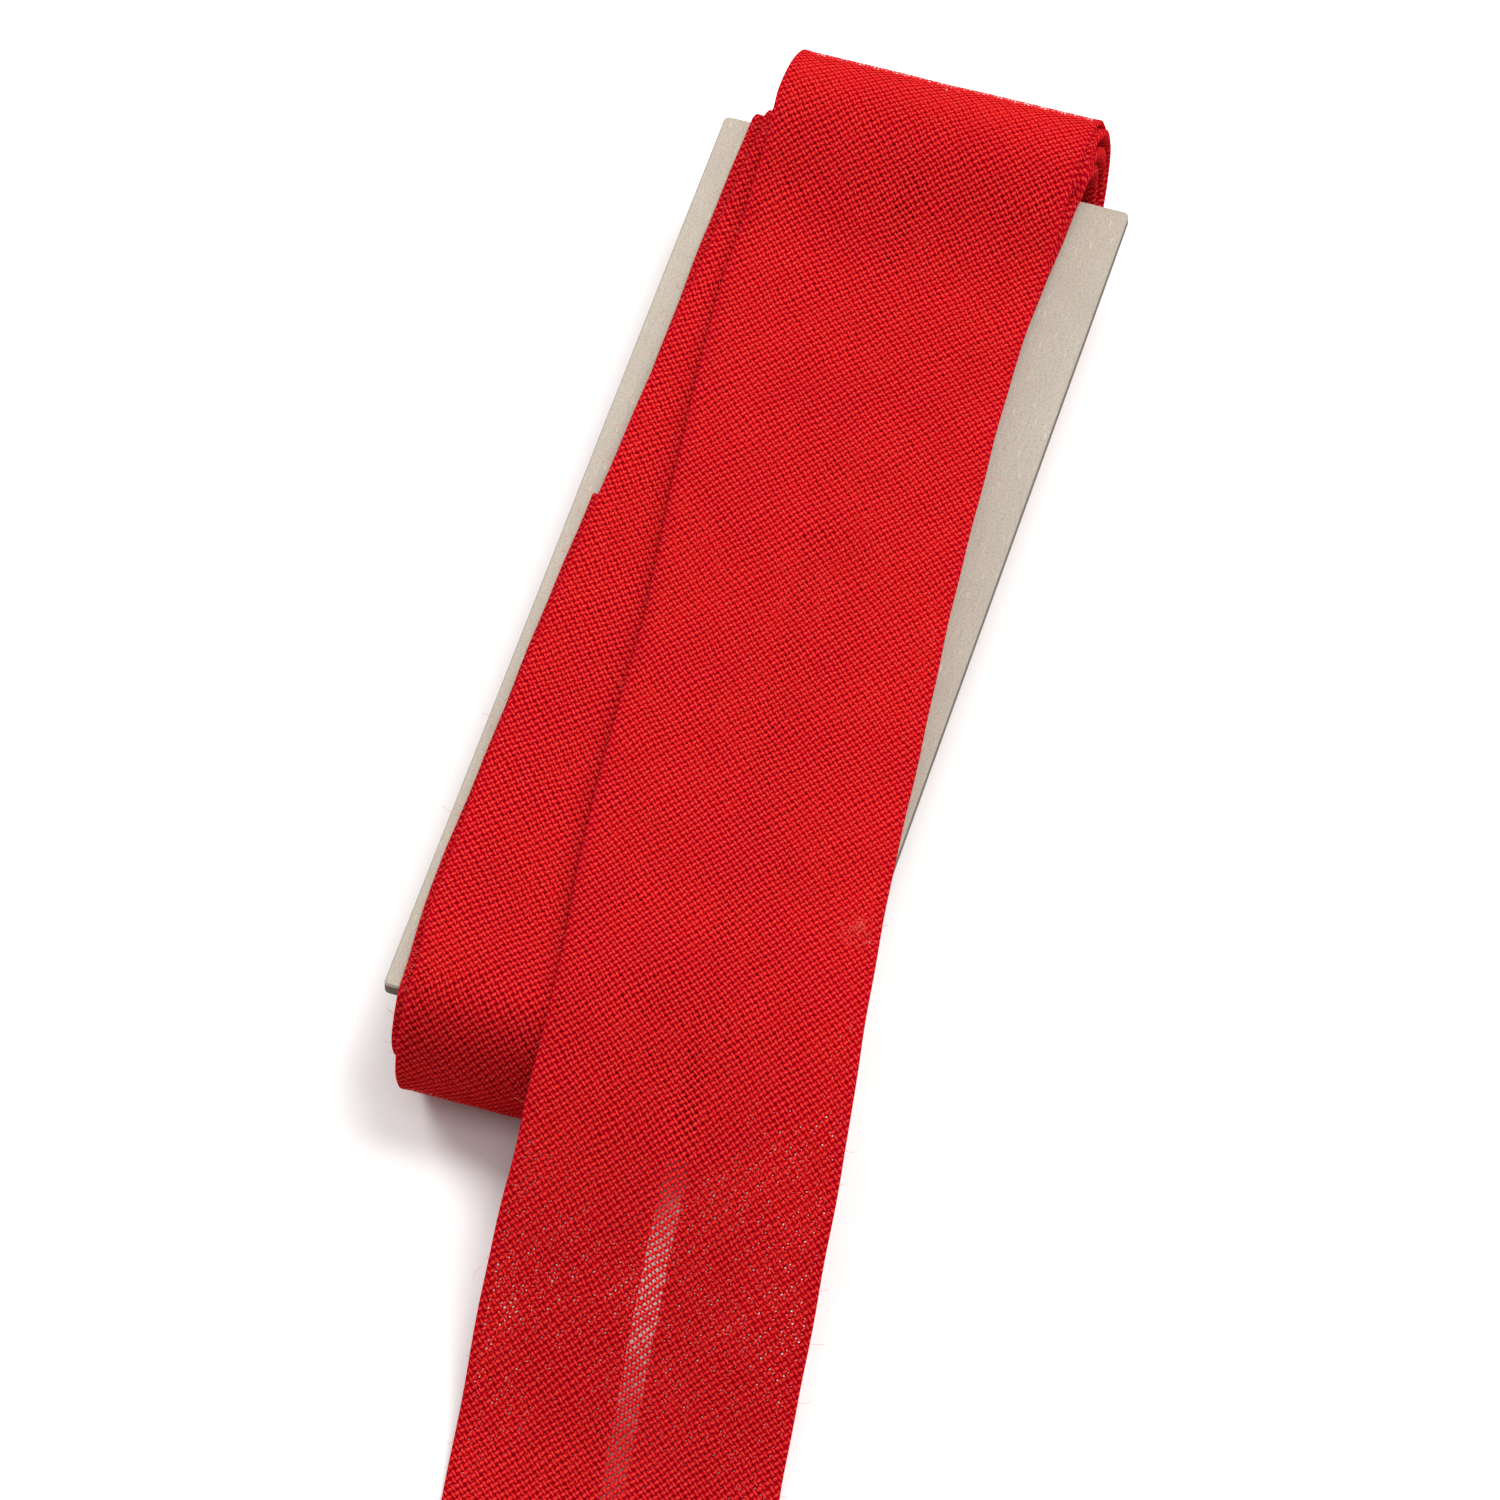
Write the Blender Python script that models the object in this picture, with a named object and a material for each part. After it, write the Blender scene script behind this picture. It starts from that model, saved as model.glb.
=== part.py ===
"""Roll of bias binding: a greyboard card wound lengthwise with folded tape, its free end run out in front.

Metres, +Z up. The card's long side runs along +Y, the tape crosses it along X, and the roll lies on z = 0.
Lengths in the tables are millimetres, with x and y from the card's centre and heights from its top face.
"""
import bmesh
import bpy
import numpy as np
from mathutils import Vector

MM = 0.001
MERGE_DISTANCE = 1e-7

# The card
CARD_WIDTH = 27.5
CARD_LENGTH = 71.3
CARD_THICKNESS = 1.0
CARD_TOP = 8.3
CORNER_WEAR = 0.35
RIM_WEAR = 0.12

# Colours
GREYBOARD_COLOUR = (0.60, 0.55, 0.46)
WOUND_COLOUR = (0.62, 0.02, 0.02)
LOOSE_COLOUR = (0.70, 0.02, 0.02)
CARD_ROUGHNESS = 0.9
CLOTH_ROUGHNESS = 0.85

# The tape, 20 mm wide when folded
TAPE_WIDTH = 20.3
LAYER = 0.42
LOOSE_END_THICKNESS = 1.0
CARD_GAP = 0.3

# Heights of the wound turns, innermost face first, above the card's top face and below its underside
TURNS_TOP = (CARD_GAP, 2.3)
TURNS_UNDER = (-CARD_THICKNESS - CARD_GAP, -3.2)

# Shares of the winding's thickness that each group of turns takes up, 0 its inner face and 1 its outer
FIRST_TURNS_SHARES = (0.0, 0.53)
LAST_TURNS_SHARES = (0.45, 1.0)
START_SHARE = 0.02

# The near loops: the innermost turn hugs the card's edge, the outermost is a round loop down to the table
NEAR_CENTRE_Y = -34.6
NEAR_CENTRE_Z = -3.0
NEAR_RADIUS = 5.3
NEAR_INNERMOST = (
    # angle, y, z
    (100, -34.80, 0.30),
    (120, -35.95, 0.14),
    (140, -36.60, -0.70),
    (160, -37.10, -1.80),
    (180, -37.35, -3.10),
    (200, -37.20, -4.40),
    (220, -36.60, -5.30),
    (240, -35.70, -5.80),
    (260, -34.60, -5.95),
)

# The far loops: the first turns are tight on the card's end, the later ones are loose rounds
TIGHT_CENTRE = (35.25, -0.5)
TIGHT_RADIUS = (1.0, 2.1)
LOOSE_CENTRE = (35.0, -1.15)
LOOSE_RADIUS = (4.7, 5.85)
LOOSE_END_RADIUS = 6.65
FAR_ANGLES = (-90, -60, -30, 0, 30, 60, 90)

# The tape's left edge along the top and the underside of each group of turns
# Each row is (y, left)
FIRST_TOP = ((30, -11.8), (15, -11.9), (0, -12.1), (-15, -12.2), (-28, -12.2))
FIRST_UNDER = ((-26, -12.0), (-12, -11.9), (0, -11.8), (12, -11.8), (30, -11.7))
LAST_TOP = ((24, -11.1), (14, -11.5), (4, -11.9), (-12, -12.3), (-28, -12.4))
LAST_UNDER = ((-26, -11.7), (-14, -11.3), (0, -10.9), (12, -10.5), (22, -10.1))
NEAR_LEFT = -11.9
TIGHT_LEFT = -11.6
LOOSE_LEFT = -9.8

# The cut start of the tape, which shows at the left under the other turns
START_RUN = (3.5, -12, -28)
START_LOOP_ROWS = 6
START_LEFT = -12.8
START_RIGHT = -11.0

# The loose end: from under the far loops, over the roll and down to the table; heights of its middle
# Each row is (y, z, left, right)
LOOSE_START = ((22.0, -7.8, -9.8, 10.4), (27.0, -7.8, -9.8, 10.4), (31.5, -7.8, -9.8, 10.4))
LOOSE_RUN = (
    (31.0, 5.0, -9.75, 10.4),
    (28.0, 4.1, -9.7, 10.4),
    (24.0, 3.4, -9.5, 10.5),
    (19.0, 3.1, -9.1, 10.7),
    (12.0, 3.1, -8.4, 11.3),
    (4.0, 3.1, -7.4, 12.3),
    (-6.0, 3.1, -6.3, 13.2),
    (-16.0, 3.1, -5.3, 14.1),
    (-26.0, 3.1, -4.1, 15.1),
    (-34.0, 3.1, -3.1, 16.0),
    (-37.5, 2.8, -2.8, 16.4),
    (-41.0, 1.9, -2.5, 16.8),
    (-45.0, 0.5, -2.3, 17.3),
    (-49.0, -1.4, -2.1, 17.8),
    (-53.0, -3.5, -1.8, 18.2),
    (-57.0, -5.4, -1.4, 18.8),
    (-61.0, -6.8, -0.9, 19.4),
    (-64.5, -7.6, -0.5, 19.9),
    (-67.5, -7.8, -0.1, 20.4),
    (-70.5, -7.8, 0.3, 20.7),
)
CUT_SLANT = 0.15
SLANT_FROM_Y = -60.0
SLANT_LENGTH = 8.0

STEPS_TURN = 4
STEPS_LOOSE = 3
ACROSS_LOOSE = 4


def new_material(name, colour, roughness):
    """A plain painted finish for one piece."""
    material = bpy.data.materials.new(name)
    material.use_nodes = True
    shader = material.node_tree.nodes["Principled BSDF"]
    shader.inputs["Base Color"].default_value = (*colour, 1.0)
    shader.inputs["Roughness"].default_value = roughness
    shader.inputs["Metallic"].default_value = 0.0
    return material


def new_object(name, bm, material, collection):
    """A named object from a finished bmesh."""
    mesh = bpy.data.meshes.new(name)
    bm.to_mesh(mesh)
    bm.free()
    mesh.materials.append(material)
    piece = bpy.data.objects.new(name, mesh)
    collection.objects.link(piece)
    return piece


def arc(centre, radius, angles, left):
    """Rows (y, z, left) on a round loop whose axis runs across the card."""
    turns = np.radians(angles)
    return [(centre[0] + radius * np.cos(a), centre[1] + radius * np.sin(a), left) for a in turns]


def near_loop(share):
    """Rows of a near loop: share 0 is the innermost face of the winding, 1 its outermost."""
    rows = []
    for angle, y, z in NEAR_INNERMOST:
        outer_y = NEAR_CENTRE_Y + NEAR_RADIUS * np.cos(np.radians(angle))
        outer_z = NEAR_CENTRE_Z + NEAR_RADIUS * np.sin(np.radians(angle))
        rows.append((y + share * (outer_y - y), z + share * (outer_z - z), NEAR_LEFT))
    return rows


def wound_face(share, top, under, far_centre, far_radius, far_left):
    """Rows of one closed face of the winding: the top, the near end, the underside and the far end."""
    height = TURNS_TOP[0] + share * (TURNS_TOP[1] - TURNS_TOP[0])
    depth = TURNS_UNDER[0] + share * (TURNS_UNDER[1] - TURNS_UNDER[0])
    rows = [(y, height, left) for y, left in top]
    rows += near_loop(share)
    rows += [(y, depth, left) for y, left in under]
    rows += arc(far_centre, far_radius, FAR_ANGLES, far_left)
    return np.array(rows)


def smooth_rows(rows, steps, closed):
    """A smooth curve through the rows that never overshoots them, with the same steps in each span."""
    if closed:
        rows = np.vstack([rows[-1:], rows, rows[:2]])
    else:
        rows = np.vstack([2 * rows[:1] - rows[1:2], rows, 2 * rows[-1:] - rows[-2:-1]])
    chords = np.diff(rows, axis=0)
    spans = np.linalg.norm(chords[:, :2], axis=1)[:, None]
    slopes = chords / spans
    tangents = (slopes[:-1] * spans[1:] + slopes[1:] * spans[:-1]) / (spans[:-1] + spans[1:])
    steepest = 3 * np.minimum(abs(slopes[:-1]), abs(slopes[1:]))
    tangents = np.clip(tangents, -steepest, steepest)
    tangents[slopes[:-1] * slopes[1:] <= 0] = 0
    curve = []
    for i in range(len(tangents) - 1):
        here, there, span = rows[i + 1], rows[i + 2], spans[i + 1]
        for t in np.arange(steps) / steps:
            lead = t**3 - 2 * t**2 + t
            trail = t**3 - t**2
            blend = 3 * t**2 - 2 * t**3
            bend = span * (lead * tangents[i] + trail * tangents[i + 1])
            curve.append(here + blend * (there - here) + bend)
    if not closed:
        curve.append(rows[-2])
    return np.array(curve)


def swept_band(sections, closed):
    """A closed solid through sections, each a ring of as many points, with its ends filled if open."""
    stations, around = len(sections), len(sections[0])
    columns = stations if closed else stations - 1
    bm = bmesh.new()
    bmesh.ops.create_grid(bm, x_segments=columns, y_segments=around, size=0.5)
    for vertex in bm.verts:
        column = round((vertex.co.x + 0.5) * columns) % stations
        row = round((vertex.co.y + 0.5) * around) % around
        vertex.co = Vector(sections[column][row])
    bmesh.ops.remove_doubles(bm, verts=bm.verts, dist=MERGE_DISTANCE)
    if not closed:
        rims = [edge for edge in bm.edges if edge.is_boundary]
        bmesh.ops.holes_fill(bm, edges=rims, sides=0)
    bmesh.ops.recalc_face_normals(bm, faces=bm.faces)
    return bm


def rest_on_table(bm):
    """The small flat spot: nothing reaches below the table."""
    for vertex in bm.verts:
        vertex.co.z = max(vertex.co.z, 0.0)


def world(x, y, z):
    """A point given from the card's centre and top face, in metres above the table."""
    return x * MM, y * MM, (z + CARD_TOP) * MM


def build_card(collection):
    """The greyboard card, with worn corners and a slightly worn rim."""
    bm = bmesh.new()
    bmesh.ops.create_cube(bm, size=1.0)
    size = (CARD_WIDTH * MM, CARD_LENGTH * MM, CARD_THICKNESS * MM)
    bmesh.ops.scale(bm, vec=size, verts=bm.verts)
    uprights = [e for e in bm.edges if abs(e.verts[0].co.z - e.verts[1].co.z) > 0.5 * size[2]]
    bmesh.ops.bevel(
        bm, geom=uprights, offset=CORNER_WEAR * MM, segments=3, profile=0.5, affect="EDGES", material=-1
    )
    rim = [e for e in bm.edges if abs(e.verts[0].co.z - e.verts[1].co.z) < 0.5 * size[2]]
    bmesh.ops.bevel(
        bm, geom=rim, offset=RIM_WEAR * MM, segments=1, profile=0.5, affect="EDGES", material=-1
    )
    bmesh.ops.translate(bm, verts=bm.verts, vec=(0, 0, (CARD_TOP - CARD_THICKNESS / 2) * MM))
    greyboard = new_material("greyboard", GREYBOARD_COLOUR, CARD_ROUGHNESS)
    return new_object("card", bm, greyboard, collection)


def turns_band(inner, outer, closed, width):
    """Sections of a band between two faces given as rows (y, z, left)."""
    sections = []
    for (y_in, z_in, left), (y_out, z_out, _) in zip(inner, outer, strict=True):
        sections.append(
            [
                world(left, y_in, z_in),
                world(left + width, y_in, z_in),
                world(left + width, y_out, z_out),
                world(left, y_out, z_out),
            ]
        )
    return swept_band(sections, closed)


def build_first_turns(collection, material):
    """The first turns, tight on the card's far end."""
    faces = []
    for share, radius in zip(FIRST_TURNS_SHARES, TIGHT_RADIUS, strict=True):
        rows = wound_face(share, FIRST_TOP, FIRST_UNDER, TIGHT_CENTRE, radius, TIGHT_LEFT)
        faces.append(smooth_rows(rows, STEPS_TURN, True))
    return new_object("winding", turns_band(*faces, True, TAPE_WIDTH), material, collection)


def build_last_turns(collection, material):
    """The later turns, over the first ones and round the far end in loose loops."""
    faces = []
    for share, radius in zip(LAST_TURNS_SHARES, LOOSE_RADIUS, strict=True):
        rows = wound_face(share, LAST_TOP, LAST_UNDER, LOOSE_CENTRE, radius, LOOSE_LEFT)
        faces.append(smooth_rows(rows, STEPS_TURN, True))
    bm = turns_band(*faces, True, TAPE_WIDTH)
    rest_on_table(bm)
    return new_object("last_turns", bm, material, collection)


def build_start(collection, material):
    """The tape's cut start, a lip at the left of the near half that goes round the near end."""
    faces = []
    for share in (START_SHARE, START_SHARE + LAYER / (TURNS_TOP[1] - TURNS_TOP[0])):
        height = TURNS_TOP[0] + share * (TURNS_TOP[1] - TURNS_TOP[0])
        rows = [(y, height, START_LEFT) for y in START_RUN]
        rows += [(y, z, START_LEFT) for y, z, _ in near_loop(share)[:START_LOOP_ROWS]]
        faces.append(smooth_rows(np.array(rows), STEPS_TURN, False))
    bm = turns_band(*faces, False, START_RIGHT - START_LEFT)
    return new_object("tape_start", bm, material, collection)


def join_solids(target, others, cutters):
    """Fuses the other solids into the target."""
    for other in others:
        union = target.modifiers.new(f"join_{other.name}", "BOOLEAN")
        union.operation = "UNION"
        union.solver = "EXACT"
        union.object = other
        other.hide_render = True
        other.display_type = "WIRE"
        for home in other.users_collection:
            home.objects.unlink(other)
        cutters.objects.link(other)


def loose_rows():
    """Rows (y, z, left, right) of the loose end's middle, from under the far loops to the cut."""
    start, run = LOOSE_START[-1], LOOSE_RUN[0]
    rows = list(LOOSE_START)
    for y, z, left in arc(LOOSE_CENTRE, LOOSE_END_RADIUS, FAR_ANGLES, start[2]):
        rows.append((y, z, left, run[3]))
    return smooth_rows(np.array(rows + list(LOOSE_RUN)), STEPS_LOOSE, False)


def build_loose_end(collection, material):
    """The loose end as one sheet, with a plain cut across the tape."""
    rows = loose_rows()
    heading = np.gradient(rows[:, :2], axis=0)
    heading /= np.linalg.norm(heading, axis=1)[:, None]
    half = LOOSE_END_THICKNESS / 2
    sections = []
    for i, (y, z, left, right) in enumerate(rows):
        out_y, out_z = heading[i][1], -heading[i][0]
        slant = CUT_SLANT * min(max((SLANT_FROM_Y - y) / SLANT_LENGTH, 0.0), 1.0) * (z < 0)
        places = [left + (right - left) * k / ACROSS_LOOSE for k in range(ACROSS_LOOSE + 1)]
        middle = (left + right) / 2
        inner = [world(x, y - half * out_y + slant * (x - middle), z - half * out_z) for x in places]
        outer = [world(x, y + half * out_y + slant * (x - middle), z + half * out_z) for x in places]
        sections.append(inner + outer[::-1])
    bm = swept_band(sections, False)
    rest_on_table(bm)
    return new_object("loose_end", bm, material, collection)


def centre_on_base(pieces):
    """Hangs the pieces on an empty that puts the middle of the roll's base at the origin."""
    bpy.context.view_layer.update()
    corners = np.array([piece.matrix_world @ Vector(c) for piece in pieces for c in piece.bound_box])
    middle = (corners.min(axis=0) + corners.max(axis=0)) / 2
    holder = bpy.data.objects.new("binding_roll_origin", None)
    pieces[0].users_collection[0].objects.link(holder)
    holder.location = (-middle[0], -middle[1], -corners[:, 2].min())
    return holder


def main():
    for old in list(bpy.data.objects):
        bpy.data.objects.remove(old, do_unlink=True)
    roll = bpy.data.collections.new("bias_binding_roll")
    cutters = bpy.data.collections.new("roll_helpers")
    for collection in (roll, cutters):
        bpy.context.scene.collection.children.link(collection)

    wound_tape = new_material("wound_tape", WOUND_COLOUR, CLOTH_ROUGHNESS)
    loose_tape = new_material("loose_tape", LOOSE_COLOUR, CLOTH_ROUGHNESS)
    card = build_card(roll)
    winding = build_first_turns(roll, wound_tape)
    last_turns = build_last_turns(roll, wound_tape)
    tape_start = build_start(roll, wound_tape)
    join_solids(winding, (last_turns, tape_start), cutters)
    loose_end = build_loose_end(roll, loose_tape)

    holder = centre_on_base([card, winding, loose_end])
    for piece in (card, winding, last_turns, tape_start, loose_end):
        piece.parent = holder


main()
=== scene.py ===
"""Looks of the roll of bias binding: one folded tape wound on a greyboard card.

Its free end runs over the top of the roll and out in front, down to the table.

The tables give millimetres, with x and y from the card's centre and heights z from the card's top face.
"""
import math
import random
from collections import namedtuple

import bmesh
import bpy
import numpy as np
from mathutils import Matrix, Vector


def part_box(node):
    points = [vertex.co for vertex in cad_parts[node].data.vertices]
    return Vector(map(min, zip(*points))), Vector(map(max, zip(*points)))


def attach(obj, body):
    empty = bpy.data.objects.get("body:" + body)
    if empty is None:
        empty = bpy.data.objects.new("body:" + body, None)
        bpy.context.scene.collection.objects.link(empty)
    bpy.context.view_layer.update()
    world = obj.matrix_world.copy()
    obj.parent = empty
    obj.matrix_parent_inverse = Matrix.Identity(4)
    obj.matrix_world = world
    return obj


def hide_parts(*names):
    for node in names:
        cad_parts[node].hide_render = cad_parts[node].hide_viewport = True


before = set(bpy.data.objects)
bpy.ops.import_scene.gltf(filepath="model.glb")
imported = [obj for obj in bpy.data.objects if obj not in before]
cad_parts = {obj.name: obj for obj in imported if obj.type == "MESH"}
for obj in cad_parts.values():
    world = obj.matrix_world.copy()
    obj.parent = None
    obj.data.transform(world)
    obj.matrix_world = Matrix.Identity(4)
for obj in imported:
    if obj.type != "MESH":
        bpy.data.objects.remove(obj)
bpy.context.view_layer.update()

MM = 0.001
CARD_LOW, CARD_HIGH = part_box("card")
CARD_CENTRE = ((CARD_LOW[0] + CARD_HIGH[0]) / 2, (CARD_LOW[1] + CARD_HIGH[1]) / 2)
CARD_TOP = CARD_HIGH[2]
TABLE = -CARD_TOP / MM

# The camera, looking down on the roll from its near end
LENS = 233.06
SENSOR = 36.0
CAMERA_DISTANCE = 616.73
CAMERA_BACK = Vector((0.16784, -0.54618, 0.82068))
CAMERA_RIGHT = Vector((0.95589, 0.29374, 0.0))
LOOK_AT = (0.969, -6.761)

# The tape: one strip with both raw edges folded to the middle of its underside
TAPE_WIDTH = 20.3
PLY = 0.15
PLY_SPACING = 0.19
LAYER_PITCH = 0.375
SLIT = 1.5
SLIT_SAG = 0.05
FOLD_PUFF = 0.03
STATION_SPACING = 1.5
STEPS_LEAST = 4
SKEW_REACH = 10.0
EDGE_WAVER = 0.035

# The folded tape across, from its middle to a fold and back to the slit, as shares of its half width
FACE_SHARES = (0.33, 0.66, 0.93)
FLAP_SHARES = (0.93, 0.5)
SLIT_EDGE_SAG = 0.6

# The waver of the tape's edges is a sum of waves; rows (share of EDGE_WAVER, radians for each mm, start)
WAVER_WAVES = ((1.0, 0.31, 1.3), (0.6, 0.83, 0.0))

# Where the tape lies on the card and under it, at the middle of the innermost layer
FIRST_TOP = 0.33
FIRST_UNDER = -1.5
TOP_YS = (34, 29, 14, 4, -14, -30)

# The cut start, which shows at the left of the near half; rows (y, left)
START_ROWS = ((3.5, -12.63), (-12.0, -12.85), (-28.0, -13.0))
START_NEAR_LEFT = -12.6

# The near loops, from the one that hugs the card's edge to the round outermost one; rows (angle, y, z)
NEAR_CENTRE = (-34.6, -3.0)
NEAR_RADIUS = 5.28
NEAR_INNERMOST = (
    (100, -34.80, 0.30),
    (120, -35.95, 0.14),
    (140, -36.60, -0.70),
    (160, -37.10, -1.80),
    (180, -37.35, -3.10),
    (200, -37.20, -4.40),
    (220, -36.60, -5.30),
    (240, -35.70, -5.80),
    (260, -34.60, -5.95),
)
NEAR_LOOPS = 6

# The turns from the inside out. centre and radius are the far loop's, lefts are the left edge at TOP_YS,
# and loop_puff is how many times its usual thickness the folded tape takes up round the far loop
Turn = namedtuple("Turn", "centre radius loop_left lefts near_left loop_puff")
TURNS = (
    Turn((35.25, -0.50), 1.00, -11.85, (-11.86, -11.86, -11.88, -11.90, -11.95, -11.90), -11.9, 1.0),
    Turn((35.25, -0.50), 1.45, -11.0, (-11.02, -11.15, -11.50, -11.60, -11.80, -11.80), -11.8, 1.0),
    Turn((34.90, -1.90), 3.80, -9.55, (-9.65, -9.85, -10.40, -10.90, -11.30, -11.30), -11.3, 3.4),
    Turn((34.95, -1.75), 4.85, -9.40, (-9.55, -9.75, -10.30, -10.80, -11.20, -11.30), -11.4, 3.4),
    Turn((35.08, -1.48), 5.92, -9.35, (-9.70, -10.70, -11.50, -11.72, -12.25, -12.25), -11.65, 2.2),
)
END_CENTRE = (35.08, -1.48)
END_RADIUS = 6.56
END_LEFT = -9.8
FAR_ANGLES = (-90, -60, -30, 0, 30, 60, 90)

# How far a run has left the flat stack for its far loop; rows (y, share)
RISE_TOP = ((34, 0.96), (31, 0.67), (28, 0.30), (24, 0.05))
SAG_UNDER = ((-26, 0.0), (-12, 0.0), (0, 0.0), (12, 0.08), (18, 0.42), (23, 0.90), (29, 0.99))

# The free end over the top of the roll and down to the table; rows (y, z of its upper face, left, right)
LOOSE_ROWS = (
    (34, 5.2, -9.74, 10.43),
    (31, 4.5, -9.59, 10.39),
    (28, 3.6, -9.52, 10.46),
    (24, 3.0, -9.37, 10.51),
    (20, 2.95, -9.17, 10.64),
    (14, 3.0, -8.60, 10.94),
    (6, 3.08, -7.70, 11.59),
    (-4, 3.1, -6.29, 12.56),
    (-14, 3.1, -5.52, 13.63),
    (-24, 3.1, -4.43, 14.80),
    (-32, 2.95, -3.35, 15.87),
    (-36, 2.4, -2.98, 16.49),
    (-40, 1.5, -2.63, 17.12),
    (-44, 0.2, -2.32, 17.58),
    (-48, -1.5, -2.21, 17.92),
    (-52, -3.4, -1.97, 18.29),
    (-56, -5.2, -1.52, 18.67),
    (-60, -6.7, -1.04, 19.10),
    (-64, -7.6, -0.59, 19.73),
    (-68, -7.9, 0.02, 20.37),
    (-70.5, -7.9, 0.35, 20.71),
)
# The free end's own piece starts under the far loops, past this share of the path's stations
LOOSE_FROM_Y = 22.0
LAST_TURN_SHARE = 0.8

# Thread directions from the tape's own length, in degrees, and threads' pitches
THREAD_A_ANGLE = -48.0
THREAD_A_PITCH = 0.40
THREAD_B_ANGLE = 41.5
THREAD_B_PITCH = 0.285

# How open the weave is between its threads, how that varies over the cloth, how much closer the
# folded-under flaps are, and the share of light that the threads let through
OPENNESS = (0.55, 0.84)
PATCH_SCALE = 0.14
PATCH_SPREAD = 0.60
FLAP_CLOSING = 0.27
SHINE_THROUGH = 0.48

# How the threads wander across the cloth, in threads; the second family also runs in uneven pairs
WAVER_A = (0.30, 0.36)
WAVER_B = (0.25, 0.46)
PAIRING = 0.1
CROSSING = 0.35

# Cloth colours, each a pair that the mottle goes between: the hollows between the threads are painted shade,
# the thread tops have the threads' own red, and the threads carry a painted highlight
MOTTLE_SCALE = 0.22
# Painted shade: the darker red of the hollows between the threads
GAP_SHADE_REDS = ((0.36, 0.0002, 0.009), (0.46, 0.0004, 0.012))
BRIGHT_REDS = ((0.76, 0.013, 0.018), (0.87, 0.025, 0.025))
# Painted highlight on the thread tops, and how strongly it is painted in
PAINTED_THREAD_HIGHLIGHT = (0.93, 0.130, 0.085)
PAINTED_HIGHLIGHT_SHARE = 0.80
CLOTH_ROUGHNESS = 0.85
CLOTH_BUMP = (0.7, 0.00006)
FIBRE_REDS = ((0.62, 0.02, 0.02), (0.85, 0.14, 0.12))
FIBRE_ROUGHNESS = 0.7

# Card colours
BOARD_GREYS = ((0.355, 0.315, 0.262), (0.425, 0.385, 0.325))
BOARD_GRAIN = (0.27, 0.235, 0.19)
BOARD_PALE_FIBRE = (0.70, 0.66, 0.59)
BOARD_DARK_FIBRE = (0.26, 0.22, 0.18)
# The card's cut edges: partly their own rough dark core, partly painted shade
BOARD_EDGE_AND_SHADE = (0.10, 0.083, 0.068)
BOARD_ROUGHNESS = 0.92
BOARD_SPECULAR = 0.2
BOARD_BUMP = (0.35, 0.00006)

# The table
TABLE_WHITES = ((0.75, 0.741, 0.733), (0.78, 0.770, 0.761))
TABLE_ROUGHNESS = 0.7
TABLE_SIZE = 1.5

# Lamps: name, place and size in metres, power in watts; and the strength of the pale surround
LAMPS = (
    ("key", (0.26, 0.36, 0.90), 0.45, 8.2),
    ("left", (-0.60, 0.30, 0.45), 0.35, 4.6),
    ("right", (0.55, 0.55, 0.45), 0.25, 4.2),
    ("front", (0.05, -0.30, 0.95), 0.50, 1.6),
)
SURROUND = 0.47

# Loose fibres, in millimetres, and where the lint lies
SHORT_FIBRES = 750
SHORT_LENGTHS = (0.15, 0.7)
SHORT_CURL = 0.35
LONG_FIBRES = 130
LONG_LENGTHS = (0.7, 1.7)
LONG_CURL = 0.5
EDGE_SHARE = 0.998
EDGE_FIBRE_THICKNESS = 0.018
LINT_FIBRES = 26
LINT_LENGTHS = (0.5, 1.6)
LINT_CURL = 0.7
LINT_FIBRE_THICKNESS = 0.02
LINT_FROM_CUT = 46.0
LINT_SHARE = 0.83
LINT_HEIGHT = 0.22
LINT_SPREAD = (0.5, 0.06)
STRAND_STEPS = 5
MERGE_DISTANCE = 1e-7

SEED = 11


def place(x, y, z):
    """A point of the tables in metres."""
    return Vector((CARD_CENTRE[0] + x * MM, CARD_CENTRE[1] + y * MM, CARD_TOP + z * MM))


def place_camera():
    """The camera at the photograph's viewing angle."""
    data = bpy.data.cameras.new("camera")
    data.lens = LENS
    data.sensor_width = SENSOR
    data.clip_start = 0.01
    camera = bpy.data.objects.new("camera", data)
    bpy.context.scene.collection.objects.link(camera)
    target = place(LOOK_AT[0], LOOK_AT[1], TABLE)
    back = CAMERA_BACK.normalized()
    right = CAMERA_RIGHT.normalized()
    turn = Matrix((right, back.cross(right), back)).transposed()
    camera.matrix_world = Matrix.Translation(target + back * CAMERA_DISTANCE * MM) @ turn.to_4x4()
    bpy.context.scene.camera = camera


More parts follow.
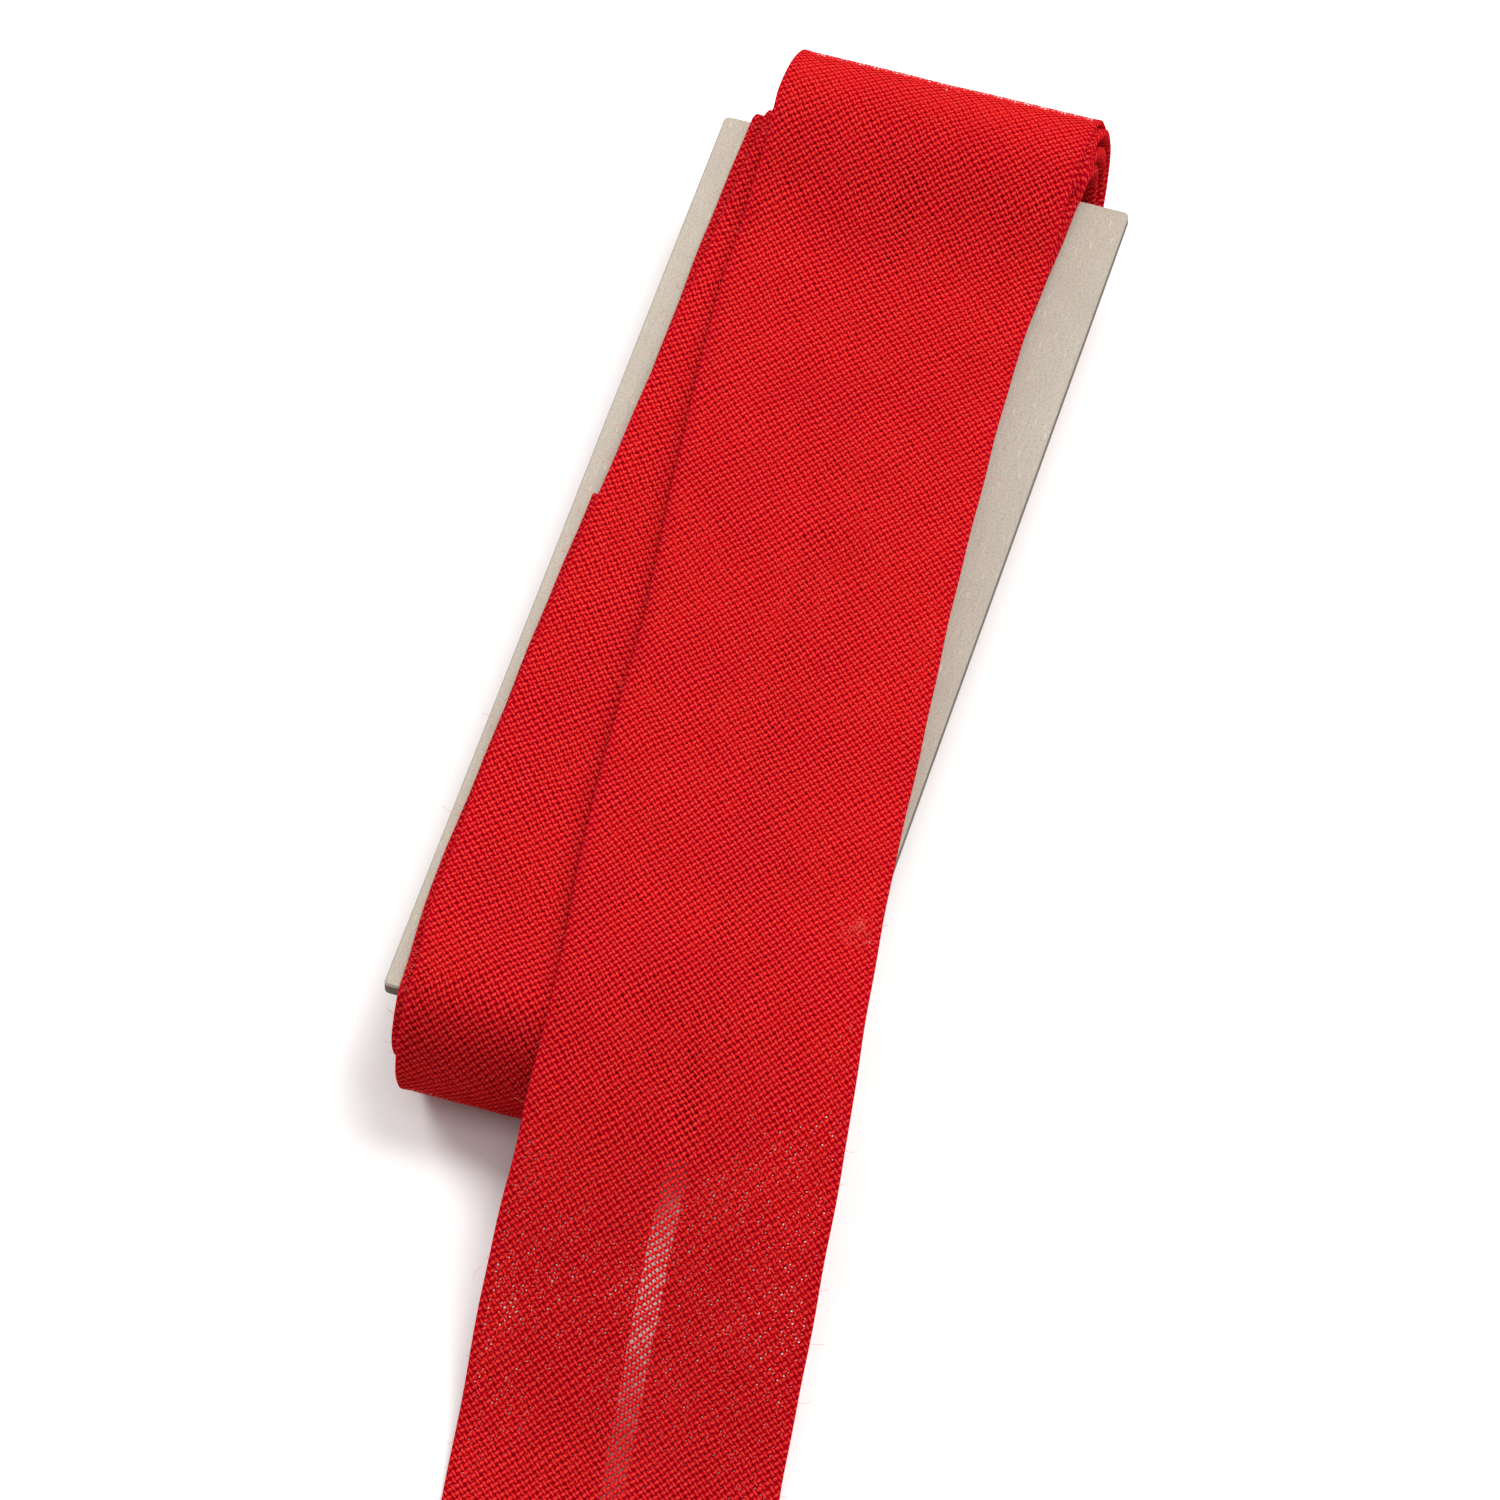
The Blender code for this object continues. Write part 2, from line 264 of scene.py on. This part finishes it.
class Finish:
    """A node material, with short calls for the nodes that it uses."""

    def __init__(self, name):
        self.material = bpy.data.materials.new(name)
        self.material.use_nodes = True
        self.nodes = self.material.node_tree.nodes
        self.links = self.material.node_tree.links
        self.shader = self.nodes["Principled BSDF"]
        self.output = self.nodes["Material Output"]

    def put(self, value, socket):
        """Links a socket or sets a number, colour or vector."""
        if isinstance(value, bpy.types.NodeSocket):
            self.links.new(value, socket)
        else:
            socket.default_value = value

    def maths(self, operation, first, second=0.0):
        """A sum, product or other function of one or two numbers."""
        node = self.nodes.new("ShaderNodeMath")
        node.operation = operation
        self.put(first, node.inputs[0])
        self.put(second, node.inputs[1])
        return node.outputs[0]

    def along(self, vector, direction):
        """How far a point lies along a direction."""
        node = self.nodes.new("ShaderNodeVectorMath")
        node.operation = "DOT_PRODUCT"
        self.put(vector, node.inputs[0])
        node.inputs[1].default_value = direction
        return node.outputs["Value"]

    def noise(self, vector, scale, detail=2.0, roughness=0.5):
        """Soft noise from 0 to 1."""
        node = self.nodes.new("ShaderNodeTexNoise")
        self.put(vector, node.inputs["Vector"])
        node.inputs["Scale"].default_value = scale
        node.inputs["Detail"].default_value = detail
        node.inputs["Roughness"].default_value = roughness
        return node.outputs["Fac"]

    def by_thread(self, value):
        """A random number for each whole number."""
        node = self.nodes.new("ShaderNodeTexWhiteNoise")
        node.noise_dimensions = "1D"
        self.put(value, node.inputs["W"])
        return node.outputs["Value"]

    def spread(self, value, low, high, to_low=0.0, to_high=1.0):
        """A value taken smoothly from one range to another."""
        node = self.nodes.new("ShaderNodeMapRange")
        node.interpolation_type = "SMOOTHSTEP"
        self.put(value, node.inputs["Value"])
        ends = {"From Min": low, "From Max": high, "To Min": to_low, "To Max": to_high}
        for name, number in ends.items():
            node.inputs[name].default_value = number
        return node.outputs["Result"]

    def mix(self, share, first, second):
        """A colour between two."""
        node = self.nodes.new("ShaderNodeMix")
        node.data_type = "RGBA"
        self.put(share, node.inputs["Factor"])
        for colour, socket in ((first, node.inputs[6]), (second, node.inputs[7])):
            self.put(colour if isinstance(colour, bpy.types.NodeSocket) else (*colour, 1.0), socket)
        return node.outputs[2]

    def surface(self, base, roughness, specular):
        """The plain settings of the surface."""
        self.links.new(base, self.shader.inputs["Base Color"])
        self.shader.inputs["Roughness"].default_value = roughness
        self.shader.inputs["Specular IOR Level"].default_value = specular

    def bump(self, height, strength, distance):
        """Fine relief."""
        node = self.nodes.new("ShaderNodeBump")
        node.inputs["Strength"].default_value = strength
        node.inputs["Distance"].default_value = distance
        self.put(height, node.inputs["Height"])
        self.links.new(node.outputs["Normal"], self.shader.inputs["Normal"])


def thread_phase(finish, cloth, angle, pitch, wander):
    """Counts threads of one family across the cloth; they wander by so many threads."""
    scale, reach = wander
    waver = finish.spread(finish.noise(cloth, scale, 2.0), 0.2, 0.8, -reach, reach)
    turn = math.radians(angle)
    across = finish.along(cloth, (math.cos(turn) / pitch, -math.sin(turn) / pitch, 0.0))
    return finish.maths("ADD", across, waver)


def red_cloth():
    """Thin plain-weave cotton cut on the bias, open enough to see through between the threads."""
    finish = Finish("red_binding")
    source = finish.nodes.new("ShaderNodeUVMap")
    source.uv_map = "cloth"
    cloth = source.outputs["UV"]
    count_a = thread_phase(finish, cloth, THREAD_A_ANGLE, THREAD_A_PITCH, WAVER_A)
    count_b = thread_phase(finish, cloth, THREAD_B_ANGLE, THREAD_B_PITCH, WAVER_B)
    pair = finish.maths("SINE", finish.maths("MULTIPLY", count_b, math.pi))
    count_b = finish.maths("ADD", count_b, finish.maths("MULTIPLY", pair, PAIRING))
    wave_a = finish.maths("SINE", finish.maths("MULTIPLY", count_a, math.pi))
    wave_b = finish.maths("SINE", finish.maths("MULTIPLY", count_b, math.pi))
    round_a = finish.maths("ABSOLUTE", wave_a)
    round_b = finish.maths("ABSOLUTE", wave_b)
    crossing = finish.maths("MULTIPLY", finish.maths("MULTIPLY", wave_a, wave_b), CROSSING)
    over_a = finish.maths("ADD", round_a, crossing)
    over_b = finish.maths("SUBTRACT", round_b, crossing)
    height = finish.maths("MAXIMUM", over_a, over_b)

    fine_a = finish.by_thread(finish.maths("FLOOR", count_a))
    fine_b = finish.by_thread(finish.maths("FLOOR", count_b))
    lean = finish.maths("ADD", fine_a, fine_b)
    fuzz = finish.noise(cloth, 9.0, 3.0, 0.6)
    cover = finish.maths("MAXIMUM", round_a, round_b)
    patches = finish.noise(cloth, PATCH_SCALE, 2.0)
    patch = finish.spread(patches, 0.3, 0.7, -PATCH_SPREAD, PATCH_SPREAD)
    uneven = finish.maths("ADD", finish.maths("ADD", lean, fuzz), patch)
    open_at = finish.spread(uneven, 0.4, 2.5, *OPENNESS)
    parts = finish.nodes.new("ShaderNodeSeparateXYZ")
    finish.links.new(cloth, parts.inputs["Vector"])
    from_fold = finish.maths("SUBTRACT", finish.maths("ABSOLUTE", parts.outputs["X"]), TAPE_WIDTH / 2)
    pressed = finish.spread(finish.maths("ABSOLUTE", from_fold), 0.2, 0.6, 0.6, 0.0)
    flap = finish.spread(from_fold, -0.3, 0.3, 0.0, FLAP_CLOSING)
    closed = finish.maths("ADD", pressed, flap)
    hole = finish.maths("LESS_THAN", cover, finish.maths("SUBTRACT", open_at, closed))

    mottle = finish.noise(cloth, MOTTLE_SCALE, 3.0)
    painted_gap_shade = finish.mix(mottle, *GAP_SHADE_REDS)
    bright = finish.mix(mottle, *BRIGHT_REDS)
    # Painted shade: the hollows between the threads, low in height, take the darker red; the thread tops
    # take their own red
    base = finish.mix(finish.spread(height, 0.74, 1.16), painted_gap_shade, bright)
    # Painted highlight: a paler colour on the highest parts of the threads, in patches
    painted_highlight = finish.maths("MULTIPLY", finish.spread(height, 0.90, 1.30), finish.spread(fuzz, 0.40, 0.68))
    base = finish.mix(finish.maths("MULTIPLY", painted_highlight, PAINTED_HIGHLIGHT_SHARE), base, PAINTED_THREAD_HIGHLIGHT)
    finish.surface(base, CLOTH_ROUGHNESS, 0.0)
    finish.bump(finish.maths("ADD", height, finish.maths("MULTIPLY", fuzz, 0.25)), *CLOTH_BUMP)

    through = finish.nodes.new("ShaderNodeBsdfTranslucent")
    finish.links.new(base, through.inputs["Color"])
    thread = finish.nodes.new("ShaderNodeMixShader")
    thread.inputs["Fac"].default_value = SHINE_THROUGH
    finish.links.new(finish.shader.outputs["BSDF"], thread.inputs[1])
    finish.links.new(through.outputs["BSDF"], thread.inputs[2])

    clear = finish.nodes.new("ShaderNodeBsdfTransparent")
    either = finish.nodes.new("ShaderNodeMixShader")
    finish.links.new(hole, either.inputs["Fac"])
    finish.links.new(thread.outputs["Shader"], either.inputs[1])
    finish.links.new(clear.outputs["BSDF"], either.inputs[2])
    finish.links.new(either.outputs["Shader"], finish.output.inputs["Surface"])
    return finish.material


def greyboard():
    """Unprinted grey card, with pulp fibres and specks; its upright cut edges are darker, partly the board's
    own rough cut core and partly painted shade.
    """
    finish = Finish("greyboard")
    source = finish.nodes.new("ShaderNodeTexCoord").outputs["Object"]
    cloud = finish.noise(source, 260.0, 4.0, 0.55)
    grain = finish.noise(source, 6500.0, 3.0, 0.6)
    stretched = finish.nodes.new("ShaderNodeMapping")
    stretched.inputs["Scale"].default_value = (1.0, 0.16, 1.0)
    stretched.inputs["Rotation"].default_value = (0.0, 0.0, 0.5)
    finish.links.new(source, stretched.inputs["Vector"])
    fibres = finish.noise(stretched.outputs["Vector"], 6000.0, 2.0, 0.5)
    base = finish.mix(cloud, *BOARD_GREYS)
    base = finish.mix(finish.spread(grain, 0.34, 0.55, 0.55, 0.0), base, BOARD_GRAIN)
    base = finish.mix(finish.spread(fibres, 0.64, 0.74, 0.0, 0.28), base, BOARD_PALE_FIBRE)
    base = finish.mix(finish.spread(fibres, 0.36, 0.28, 0.0, 0.4), base, BOARD_DARK_FIBRE)
    facing = finish.nodes.new("ShaderNodeSeparateXYZ")
    normal = finish.nodes.new("ShaderNodeNewGeometry").outputs["Normal"]
    finish.links.new(normal, facing.inputs["Vector"])
    upright = finish.maths("ABSOLUTE", facing.outputs["Z"])
    # Upright faces, the cut edges, take the dark edge colour: partly the board's own cut core, partly
    # painted shade
    base = finish.mix(finish.spread(upright, 0.35, 0.9, 0.9, 0.0), base, BOARD_EDGE_AND_SHADE)
    finish.surface(base, BOARD_ROUGHNESS, BOARD_SPECULAR)
    finish.bump(finish.maths("ADD", grain, fibres), *BOARD_BUMP)
    return finish.material


def table_top():
    """A plain pale table."""
    finish = Finish("table_top")
    source = finish.nodes.new("ShaderNodeTexCoord").outputs["Object"]
    cloud = finish.noise(source, 6.0, 2.0)
    finish.links.new(finish.mix(cloud, *TABLE_WHITES), finish.shader.inputs["Base Color"])
    finish.shader.inputs["Roughness"].default_value = TABLE_ROUGHNESS
    return finish.material


def loop_rows(centre, radius, left, puff):
    """Rows round a far loop, from its underside to its top."""
    rows = []
    for angle in FAR_ANGLES:
        turn = math.radians(angle)
        y = centre[0] + radius * math.cos(turn)
        z = centre[1] + radius * math.sin(turn)
        rows.append((y, z, left, left + TAPE_WIDTH, puff))
    return rows


def near_rows(loop, left):
    """Rows round a near loop, counted from the innermost."""
    share = (loop + 0.5) / NEAR_LOOPS
    rows = []
    for angle, y, z in NEAR_INNERMOST:
        turn = math.radians(angle)
        outer_y = NEAR_CENTRE[0] + NEAR_RADIUS * math.cos(turn)
        outer_z = NEAR_CENTRE[1] + NEAR_RADIUS * math.sin(turn)
        here = (y + share * (outer_y - y), z + share * (outer_z - z))
        rows.append((*here, left, left + TAPE_WIDTH, 1.0))
    return rows


def under_rows(loop, near_left, far_left, bottom):
    """Rows back under the card, close to it in the middle and sagging to the far loop."""
    depth = FIRST_UNDER - LAYER_PITCH * loop
    first, last = SAG_UNDER[0][0], SAG_UNDER[-1][0]
    rows = []
    for y, share in SAG_UNDER:
        left = near_left + (far_left - near_left) * (y - first) / (last - first)
        rows.append((y, depth + share * (bottom - depth), left, left + TAPE_WIDTH, 1.0))
    return rows


def top_rows(order, turn):
    """Rows over the card's top, from the far loop to the near one."""
    height = FIRST_TOP + LAYER_PITCH * (order + 1)
    top = turn.centre[1] + turn.radius
    rows = []
    for y, share in RISE_TOP:
        left = float(np.interp(y, TOP_YS[::-1], turn.lefts[::-1]))
        puff = 1.0 + share * (turn.loop_puff - 1.0)
        rows.append((y, height + share * (top - height), left, left + TAPE_WIDTH, puff))
    for y, left in zip(TOP_YS[2:], turn.lefts[2:], strict=True):
        rows.append((y, height, left, left + TAPE_WIDTH, 1.0))
    return rows


def tape_rows():
    """Rows (y, z, left, right, puff) of the whole tape, from its cut start to the cut of its free end."""
    rows = [(y, FIRST_TOP, left, left + TAPE_WIDTH, 1.0) for y, left in START_ROWS]
    near_left = START_NEAR_LEFT
    for order, turn in enumerate(TURNS):
        rows += near_rows(order, near_left)
        rows += under_rows(order, near_left, turn.loop_left, turn.centre[1] - turn.radius)
        rows += loop_rows(turn.centre, turn.radius, turn.loop_left, turn.loop_puff)
        rows += top_rows(order, turn)
        near_left = turn.near_left
    rows += near_rows(len(TURNS), near_left)
    rows += under_rows(len(TURNS), near_left, END_LEFT, END_CENTRE[1] - END_RADIUS)
    rows += loop_rows(END_CENTRE, END_RADIUS, END_LEFT, 1.0)
    thickness = PLY + PLY_SPACING
    rows += [(y, z - thickness / 2, left, right, 1.0) for y, z, left, right in LOOSE_ROWS]
    return np.array(rows)


def smooth_rows(rows):
    """A smooth curve through the rows that never overshoots them, in steps of the station spacing."""
    rows = np.vstack([2 * rows[:1] - rows[1:2], rows, 2 * rows[-1:] - rows[-2:-1]])
    chords = np.diff(rows, axis=0)
    spans = np.linalg.norm(chords[:, :2], axis=1)[:, None]
    slopes = chords / spans
    tangents = (slopes[:-1] * spans[1:] + slopes[1:] * spans[:-1]) / (spans[:-1] + spans[1:])
    steepest = 3 * np.minimum(abs(slopes[:-1]), abs(slopes[1:]))
    tangents = np.clip(tangents, -steepest, steepest)
    tangents[slopes[:-1] * slopes[1:] <= 0] = 0
    curve = []
    for i in range(len(tangents) - 1):
        here, there, span = rows[i + 1], rows[i + 2], spans[i + 1]
        steps = max(STEPS_LEAST, math.ceil(float(span[0]) / STATION_SPACING))
        for t in np.arange(steps) / steps:
            lead = t**3 - 2 * t**2 + t
            trail = t**3 - t**2
            blend = 3 * t**2 - 2 * t**3
            bend = span * (lead * tangents[i] + trail * tangents[i + 1])
            curve.append(here + blend * (there - here) + bend)
    curve.append(rows[-2])
    return np.array(curve)


def folded_section():
    """The folded tape across: (share of the half width, height, distance across the cloth when unfolded)."""
    half = TAPE_WIDTH / 2
    lift = PLY_SPACING / 2
    inset = 1 - lift / half
    slit = SLIT / 2 / half
    right = [(0.0, lift - SLIT_SAG), (slit, lift - SLIT_SAG * SLIT_EDGE_SAG)]
    right += [(share, lift) for share in FACE_SHARES]
    right += [(inset, lift + FOLD_PUFF), (1.0, 0.0), (inset, -lift - FOLD_PUFF)]
    right += [(share, -lift) for share in (*FLAP_SHARES, slit)]
    points = [(0.0, right[0][1], 0.0)]
    for (x0, z0), (x1, z1) in zip(right[:-1], right[1:], strict=True):
        points.append((x1, z1, points[-1][2] + math.hypot((x1 - x0) * half, z1 - z0)))
    left = [(-x, z, -u) for x, z, u in points[:0:-1]]
    return left + points


class Tape:
    """The tape's path, read by the distance along it."""

    def __init__(self):
        curve = smooth_rows(tape_rows())
        steps = np.linalg.norm(np.diff(curve[:, :2], axis=0), axis=1)
        self.along = np.concatenate([[0.0], np.cumsum(steps)])
        self.y, self.z = curve[:, 0], curve[:, 1]
        self.middle = (curve[:, 2] + curve[:, 3]) / 2
        self.puff = curve[:, 4]
        ahead = np.interp(self.along + SKEW_REACH, self.along, self.middle)
        behind = np.interp(self.along - SKEW_REACH, self.along, self.middle)
        self.slope = (ahead - behind) / (2 * SKEW_REACH)
        self.half = (curve[:, 3] - curve[:, 2]) / 2 / np.hypot(1.0, self.slope)
        self.out_y = np.gradient(self.z, self.along)
        self.out_z = -np.gradient(self.y, self.along)

    def read(self, values, at):
        """A value of the path at a distance along it."""
        return float(np.interp(at, self.along, values))

    def point(self, at, share, height):
        """A point of the tape: a share of the half width to the right, a height above its middle."""
        slope = self.read(self.slope, at)
        lean = math.hypot(1.0, slope)
        offset = share * self.read(self.half, at)
        spot = min(max(at - offset * slope / lean, 0.0), self.along[-1])
        waver = EDGE_WAVER * sum(size * math.sin(at * pace + start) for size, pace, start in WAVER_WAVES)
        x = self.read(self.middle, at) + offset / lean + waver
        out = Vector((self.read(self.out_y, spot), self.read(self.out_z, spot)))
        out.normalize()
        height *= self.read(self.puff, spot)
        y = self.read(self.y, spot) + height * out[0]
        z = self.read(self.z, spot) + height * out[1]
        return place(x, y, z)


def new_piece(name, bm, material):
    """A finished piece with its place in its mesh."""
    mesh = bpy.data.meshes.new(name)
    bm.to_mesh(mesh)
    bm.free()
    mesh.materials.append(material)
    for face in mesh.polygons:
        face.use_smooth = True
    piece = bpy.data.objects.new(name, mesh)
    bpy.context.scene.collection.objects.link(piece)
    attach(piece, "root")
    return piece


def tape_piece(name, tape, first, last, material):
    """A stretch of the folded tape between two stations, with each thread's place in its UV map."""
    section = folded_section()
    stations = tape.along[first:last + 1]
    columns, across = len(stations) - 1, len(section) - 1
    bm = bmesh.new()
    bmesh.ops.create_grid(bm, x_segments=columns, y_segments=across, size=0.5)
    cloth = bm.loops.layers.uv.new("cloth")
    spots = {}
    for vertex in bm.verts:
        column = round((vertex.co.x + 0.5) * columns)
        row = round((vertex.co.y + 0.5) * across)
        share, height, unfolded = section[row]
        spots[vertex] = (unfolded, float(stations[column]))
        vertex.co = tape.point(float(stations[column]), share, height)
    for face in bm.faces:
        for loop in face.loops:
            loop[cloth].uv = spots[loop.vert]
    bmesh.ops.recalc_face_normals(bm, faces=bm.faces)
    piece = new_piece(name, bm, material)
    cloth_thickness = piece.modifiers.new("cloth_thickness", "SOLIDIFY")
    cloth_thickness.thickness = PLY * MM
    cloth_thickness.offset = 0.0
    length = float(stations[-1] - stations[0])
    return piece, length * MM


def build_tape(material):
    """The wound turns and the free end, which is the same tape from under the far loops on."""
    tape = Tape()
    last_under = np.nonzero((tape.z < TABLE / 2) & (tape.y > 0))[0]
    after = len(tape.y) * LAST_TURN_SHARE
    split = int(min(i for i in last_under if tape.y[i] >= LOOSE_FROM_Y and i > after))
    wound, wound_length = tape_piece("wound_binding", tape, 0, split, material)
    loose, loose_length = tape_piece("loose_binding", tape, split, len(tape.along) - 1, material)
    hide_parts("winding")
    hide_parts("loose_end")
    return tape


def fibre_material():
    """Loose cotton fibre."""
    finish = Finish("red_fibre")
    source = finish.nodes.new("ShaderNodeTexCoord").outputs["Object"]
    tone = finish.noise(source, 900.0, 1.0)
    finish.links.new(finish.mix(tone, *FIBRE_REDS), finish.shader.inputs["Base Color"])
    finish.shader.inputs["Roughness"].default_value = FIBRE_ROUGHNESS
    return finish.material


def fibres(name, strands, thickness, material):
    """Fine fibres as thin tubes, each along its own list of points."""
    data = bpy.data.curves.new(name, "CURVE")
    data.dimensions = "3D"
    data.bevel_depth = thickness * MM / 2
    data.bevel_resolution = 0
    data.use_fill_caps = True
    for strand in strands:
        spline = data.splines.new("POLY")
        spline.points.add(len(strand) - 1)
        for point, spot in zip(spline.points, strand, strict=True):
            point.co = (*spot, 1.0)
    guide = bpy.data.objects.new(name + "_guide", data)
    bpy.context.scene.collection.objects.link(guide)
    bpy.context.view_layer.update()
    finished = guide.evaluated_get(bpy.context.evaluated_depsgraph_get())
    mesh = bpy.data.meshes.new_from_object(finished)
    bpy.data.objects.remove(guide, do_unlink=True)
    bm = bmesh.new()
    bm.from_mesh(mesh)
    bpy.data.meshes.remove(mesh)
    bmesh.ops.remove_doubles(bm, verts=bm.verts, dist=MERGE_DISTANCE)
    bmesh.ops.recalc_face_normals(bm, faces=bm.faces)
    return new_piece(name, bm, material)


def strand_from(root, heading, length, curl, rng):
    """A fibre that starts at a root and wanders as it goes."""
    points = [root]
    heading = heading.normalized()
    for _ in range(STRAND_STEPS):
        heading = (heading + Vector([rng.uniform(-curl, curl) for _ in range(3)])).normalized()
        points.append(points[-1] + heading * length * MM / STRAND_STEPS)
    return points


def edge_fuzz(tape, material):
    """Short fibres that stand out of the folded edges."""
    rng = random.Random(SEED)
    strands = []
    for _ in range(SHORT_FIBRES):
        at = rng.uniform(0.0, tape.along[-1])
        side = rng.choice((-1.0, 1.0))
        root = tape.point(at, side * EDGE_SHARE, rng.uniform(-0.08, 0.08))
        ahead = tape.point(min(at + 0.5, tape.along[-1]), side * EDGE_SHARE, 0.0) - root
        heading = Vector((side, 0, rng.uniform(-0.2, 0.5)))
        heading += ahead.normalized() * rng.uniform(-1.2, 1.2)
        strands.append(strand_from(root, heading, rng.uniform(*SHORT_LENGTHS), SHORT_CURL, rng))
    for _ in range(LONG_FIBRES):
        at = rng.uniform(0.0, tape.along[-1])
        side = rng.choice((-1.0, 1.0))
        root = tape.point(at, side * EDGE_SHARE, 0.0)
        heading = Vector((side, rng.uniform(-0.6, 0.6), rng.uniform(-0.3, 0.3)))
        strands.append(strand_from(root, heading, rng.uniform(*LONG_LENGTHS), LONG_CURL, rng))
    piece = fibres("edge_fuzz", strands, EDGE_FIBRE_THICKNESS, material)


def lint(tape, material):
    """A small tangle of lint caught on the free end."""
    rng = random.Random(SEED + 1)
    strands = []
    for _ in range(LINT_FIBRES):
        at = tape.along[-1] - LINT_FROM_CUT + rng.gauss(0.0, LINT_SPREAD[0])
        root = tape.point(at, LINT_SHARE + rng.gauss(0.0, LINT_SPREAD[1]), LINT_HEIGHT)
        heading = Vector((rng.uniform(-1, 1), rng.uniform(-1, 1), rng.uniform(0.0, 0.25)))
        strands.append(strand_from(root, heading, rng.uniform(*LINT_LENGTHS), LINT_CURL, rng))
    piece = fibres("lint_tuft", strands, LINT_FIBRE_THICKNESS, material)


def build_lights():
    """Soft studio light: a lamp high up, one at each side, a weak one in front and a pale surround."""
    world = bpy.data.worlds.new("surround")
    world.use_nodes = True
    background = world.node_tree.nodes["Background"]
    background.inputs["Color"].default_value = (1.0, 1.0, 1.0, 1.0)
    background.inputs["Strength"].default_value = SURROUND
    bpy.context.scene.world = world
    bpy.context.scene.view_settings.view_transform = "Standard"
    for name, spot, size, power in LAMPS:
        data = bpy.data.lights.new(name, "AREA")
        data.size = size
        data.energy = power
        lamp = bpy.data.objects.new(name, data)
        lamp.location = spot
        lamp.rotation_euler = (-Vector(spot)).to_track_quat("-Z", "Y").to_euler()
        bpy.context.scene.collection.objects.link(lamp)


def build_floor():
    """The pale table under the roll, far wider than the view."""
    bm = bmesh.new()
    bmesh.ops.create_grid(bm, x_segments=1, y_segments=1, size=TABLE_SIZE)
    mesh = bpy.data.meshes.new("table")
    bm.to_mesh(mesh)
    bm.free()
    mesh.materials.append(table_top())
    floor = bpy.data.objects.new("table", mesh)
    bpy.context.scene.collection.objects.link(floor)


place_camera()
build_floor()
build_lights()
card = bpy.data.objects["card"]
card.material_slots[0].material = greyboard()
tape_path = build_tape(red_cloth())
loose_fibre = fibre_material()
edge_fuzz(tape_path, loose_fibre)
lint(tape_path, loose_fibre)

bpy.context.view_layer.update()
